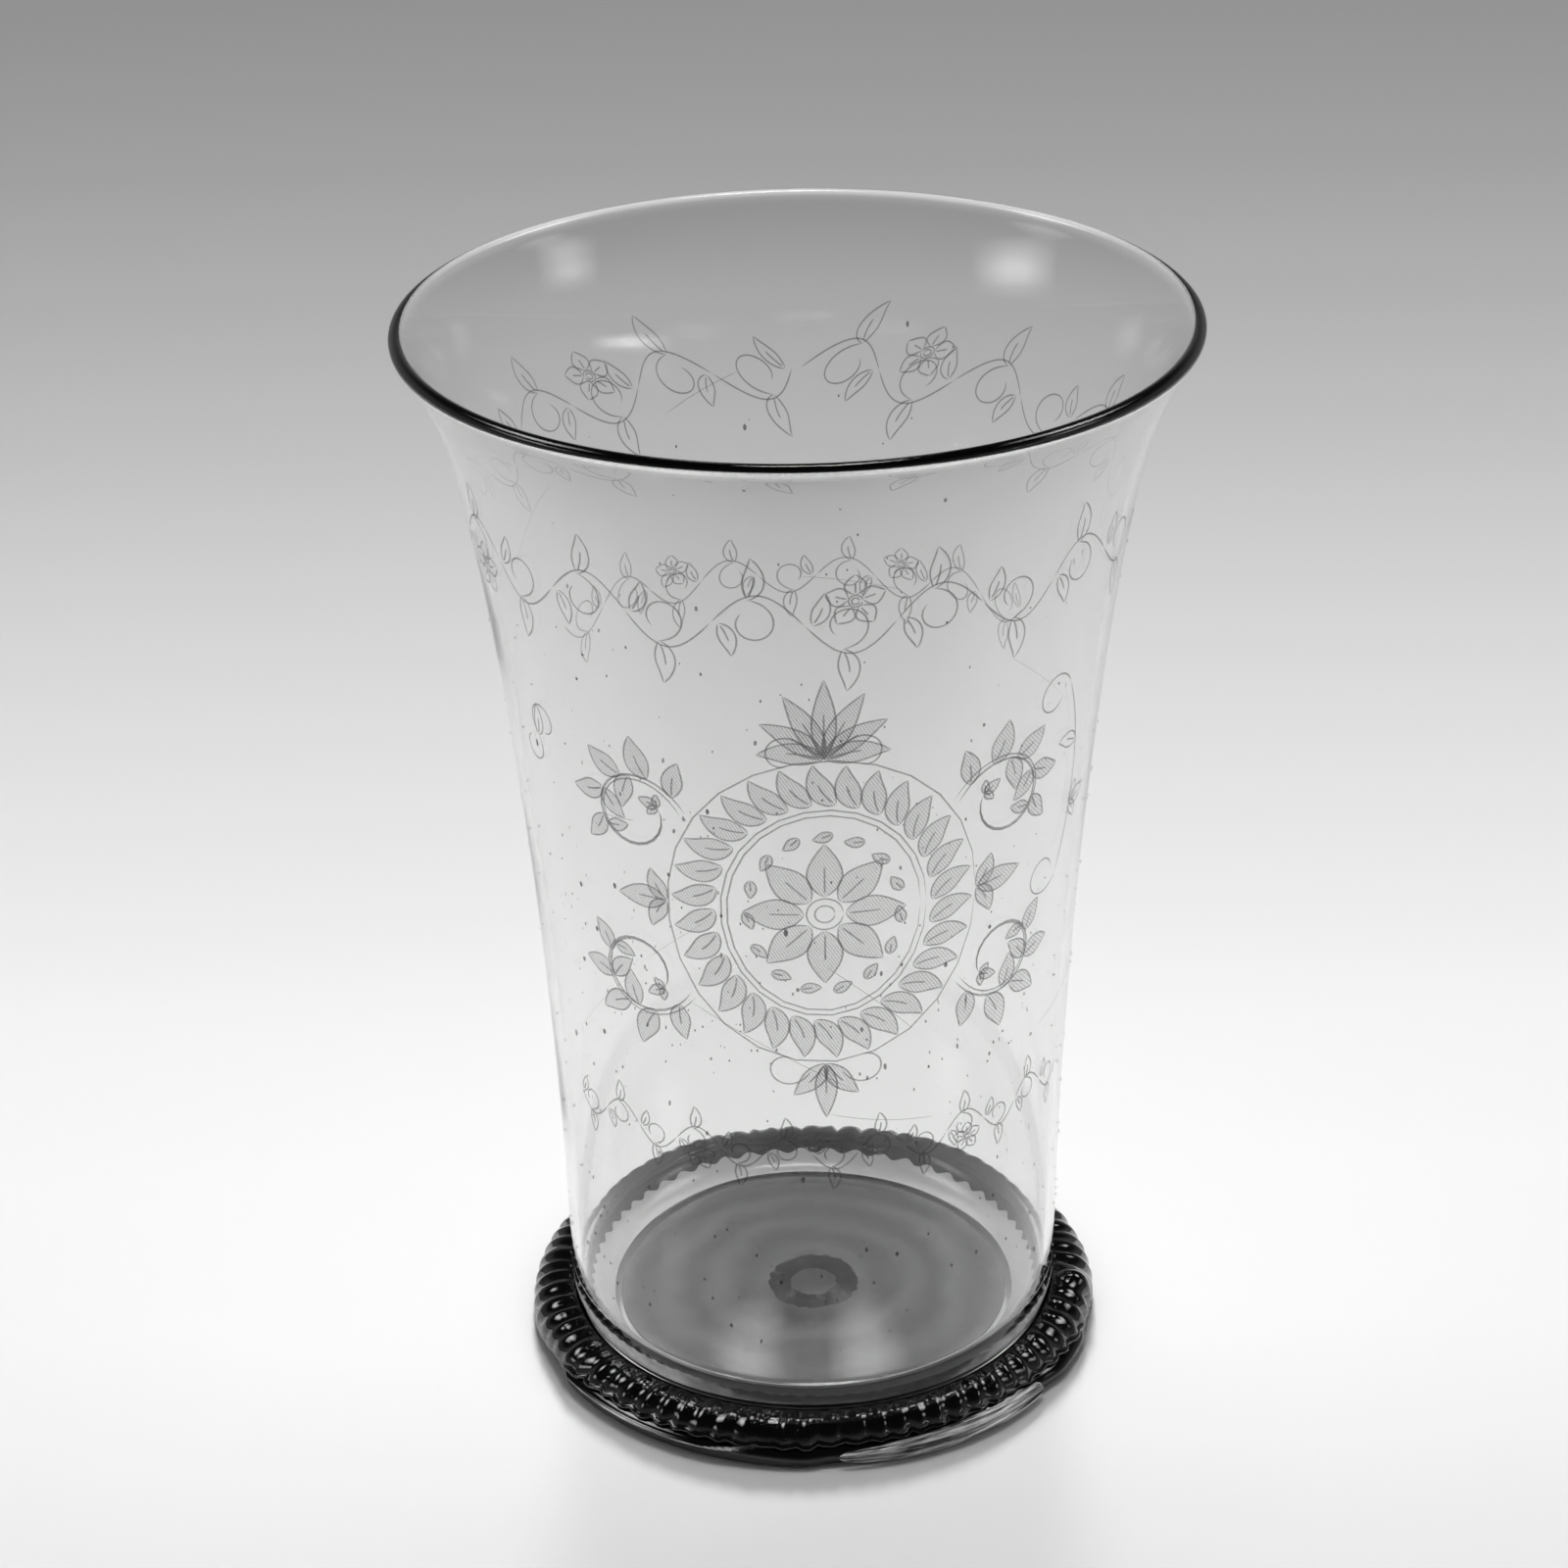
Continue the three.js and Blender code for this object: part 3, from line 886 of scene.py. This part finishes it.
# The pale streaks stand partly for drawn-out glass and partly for painted highlights on the ridge and the
# tail.
streak_and_highlight_tones = ((0.0, 0.02), (0.42, 0.06), (0.5, 0.4), (0.6, 0.85), (1.0, 0.9))
streaks_round = 5.0
streaks_outwards = 1500.0
streaks_upwards = 2600.0
streaky_glass_and_highlight = bpy.data.materials.new("streaky_glass_and_highlight")
tree = emptied(streaky_glass_and_highlight)
streak_x, streak_y, streak_z = tree.parts(tree.node("TexCoord", output="Object"))
along = tree.maths("ARCTAN2", streak_y, streak_x)
away = tree.maths("SQRT", streak_x * streak_x + streak_y * streak_y)
drawn_out = tree.node("CombineXYZ", inputs={
    0: along * streaks_round, 1: away * streaks_outwards, 2: streak_z * streaks_upwards,
})
streaks = tree.node("TexNoise", inputs={"Vector": drawn_out, "Scale": 1.0, "Detail": 5.0, "Roughness": 0.6})
streak_and_highlight_tone = tree.node("ValToRGB", {"stops": streak_and_highlight_tones}, {0: streaks})
body = tree.node("BsdfPrincipled", inputs={"Base Color": streak_and_highlight_tone, "Roughness": 0.12, "IOR": 1.6})
tree.node("OutputMaterial", inputs={"Surface": body})
foot_thread.data.materials.append(streaky_glass_and_highlight)
# Faces on the ridge take the streaky glass, whose pale line is partly a painted highlight.
for face in foot_thread.data.polygons:
    turn = math.atan2(face.center.y, face.center.x)
    across = (math.hypot(face.center.x, face.center.y) - thread_centre) / thread_half_width
    angle = math.atan2((face.center.z - thread_middle) / thread_rise, across)
    is_on_ridge = abs(angle - float(ridge_angle(turn))) < ridge_half_width
    if is_on_ridge and abs(turn - ridge_turn) < ridge_half_span + ridge_fade / 2:
        face.material_index = 1
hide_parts("foot_thread")
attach(foot_thread, "root")

# The ribbed trail: a second wind of the same glass, laid on top of the plain thread and pinched into ribs
# while hot, no two of them alike. Its skirt hangs over the plain thread at the sides and back, and it ends
# in a lump at the right.
trail_top = 0.0056
trail_low_seat = thread_height + 0.0009
shoulder_reach = 0.0016
shoulder_rise = 0.0011
knee_swell = 0.0005
front_knee_pull = 0.0012
trail_reach_under = math.radians(118)
rib_depth = 0.00075
rib_slant = 0.3
rib_sharpness = 2.0
rib_start_share = 0.3
front_thinning = 0.65
overhang = 16
front_overhang = -8
groove_overhang = 7
front_groove_overhang = 12
rib_overhang = 4
end_bulge = 16
front_end_bulge = 5
lump_turn = math.radians(-7)
lump_half_span = math.radians(2.6)
lump_out = 0.0014
outside_share = 0.56
end_share = 0.08
under_share = 0.26
seat_from = 0.94
rib_draw = np.random.default_rng(21)
rib_starts = (np.arange(rib_count) + rib_draw.uniform(-0.2, 0.2, rib_count)) / rib_count
rib_depths = rib_depth * rib_draw.uniform(0.75, 1.3, rib_count)
rib_lengths = rib_draw.uniform(-0.5, 1.0, rib_count)


def rib_at(turn, drop):
    """The lobe's height between 0 and 1, the groove's depth and how far down the rib reaches."""
    place = np.mod(turn / (2 * math.pi) + rib_slant * drop / rib_count - rib_starts[0], 1) + rib_starts[0]
    edges = np.append(rib_starts, rib_starts[0] + 1)
    number = np.clip(np.searchsorted(edges, place, side="right") - 1, 0, rib_count - 1)
    phase = (place - edges[number]) / (edges[number + 1] - edges[number])
    return 1 - np.abs(phase * 2 - 1) ** rib_sharpness, rib_depths[number], rib_lengths[number]


def drawn_towards(share, start, first, second, end):
    """A curve from start to end that two points between draw towards them, and its direction."""
    rest = 1 - share
    place = (rest ** 3 * start + 3 * share * rest ** 2 * first
             + 3 * share ** 2 * rest * second + share ** 3 * end)
    way = (3 * rest ** 2 * (first - start) + 6 * share * rest * (second - first)
           + 3 * share ** 2 * (end - second))
    return place, way


def trail_section(turn, share):
    """From the trail's top at the wall over the ribs, round the skirt's end and back under it."""
    way = np.mod(0.25 - share, 1)
    drop = np.clip(way / outside_share, 0, 1)
    lobe, depth, extra = rib_at(turn, drop)
    front = front_share(turn)
    skirt = skirt_angle(turn)
    at_groove = groove_overhang + (front_groove_overhang - groove_overhang) * front
    scallop = (np.radians(overhang + (front_overhang - overhang) * front)
               + np.radians(at_groove) * (1 - lobe) - np.radians(rib_overhang) * extra * lobe)
    end_thickness = skirt_thickness * (1 - front_thinning * front)

    top_r = outside_at(np.full_like(turn, trail_top), seat_gap)
    edge_r, edge_z = thread_point(skirt + skirt_round + scallop, turn, seat_gap + end_thickness)
    knee_r = edge_r + knee_swell - front_knee_pull * front
    outer_r, along_r = drawn_towards(drop, top_r, top_r + shoulder_reach, knee_r, edge_r)
    outer_z, along_z = drawn_towards(drop, trail_top, trail_top + shoulder_rise, trail_top, edge_z)
    length = np.maximum(np.hypot(along_r, along_z), 1e-9)
    groove_fade = smooth_step(drop, 0, rib_start_share) * (1 - front_thinning * front * drop ** 2)
    away = np.mod(turn - lump_turn + math.pi, 2 * math.pi) - math.pi
    lump = lump_out * np.exp(-(away / lump_half_span) ** 2) * np.sin(math.pi * drop) ** 2
    inwards = depth * groove_fade * (1 - lobe) - lump
    outer_r = outer_r + along_z / length * inwards
    outer_z = outer_z - along_r / length * inwards

    round_end = np.clip((way - outside_share) / end_share, 0, 1) * math.pi
    past = 0.5 + 0.5 * np.cos(round_end)
    bulge = np.radians(end_bulge + (front_end_bulge - end_bulge) * front) * np.sin(round_end)
    end_angle = skirt + skirt_round * past + scallop - bulge
    end_r, end_z = thread_point(end_angle, turn, seat_gap + end_thickness * past)

    under = np.clip((way - outside_share - end_share) / under_share, 0, 1)
    under_angle = skirt + scallop + (trail_reach_under - skirt - scallop) * under
    under_r, under_z = thread_point(under_angle, turn, seat_gap)
    seat_r = outside_at(np.full_like(turn, trail_low_seat), seat_gap)

    which = [way <= outside_share, way < outside_share + end_share, way > seat_from]
    return (np.select(which, [outer_r, end_r, seat_r], under_r),
            np.select(which, [outer_z, end_z, np.full_like(turn, trail_low_seat)], under_z))


ribbed_trail = wound("ribbed_trail_ring", trail_section, around=rib_count * 20, across=60)
ribbed_trail.data.materials.append(dark_glass)
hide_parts("ribbed_trail")
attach(ribbed_trail, "root")

# The tail of the plain thread, laid back over its own front and pressed flat, with grooves along it where
# the streaky glass was drawn out. Its pale streaks are partly painted highlights. It rises from its round
# tip to its torn end.
tail_low = math.radians(12)
tail_high = math.radians(16)
tail_thickness = 0.0009
tail_width = 0.002
tail_tip_share = 0.06
tail_torn_share = 0.86
tail_end_round = 0.03
tail_groove_depth = 0.45
tail_groove_at = -0.1
tail_groove_half_width = 0.16
tail_ripple = 0.16
tail_ripple_count = 17
tail_ripple_lean = 5
bpy.ops.object.select_all(action="DESELECT")
bpy.ops.mesh.primitive_uv_sphere_add(segments=64, ring_count=160, radius=1)
tail = bpy.context.object
tail.name = "flattened_tail"
places = places_of(tail)
share = np.arccos(np.clip(-places[:, 2], -1, 1)) / math.pi
around = np.arctan2(places[:, 1], places[:, 0])
tail_turn = tail_start + (tail_end - tail_start) * share
fullness = np.sqrt(np.sin(math.pi * (tail_tip_share + (tail_torn_share - tail_tip_share) * share)))
fullness = fullness * np.sqrt(np.clip(np.minimum(share, 1 - share) / tail_end_round, 0, 1))
half_angle = tail_width / 2 / thread_rise * fullness
across = np.cos(around)
outer_side = 0.5 + 0.5 * np.sin(around)
groove = tail_groove_depth * np.exp(-((across - tail_groove_at) / tail_groove_half_width) ** 2)
ripples = tail_ripple * np.cos(across * tail_ripple_count + share * tail_ripple_lean)
tail_rise = seat_gap + tail_thickness * fullness * outer_side * (1 - groove - ripples)
tail_angle = tail_low + (tail_high - tail_low) * share + half_angle * across
radius, z = thread_point(tail_angle, tail_turn, tail_rise)
place_round(tail, radius, tail_turn, z)
closed_and_smooth(tail)
tail.data.materials.append(streaky_glass_and_highlight)
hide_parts("thread_tail")
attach(tail, "root")
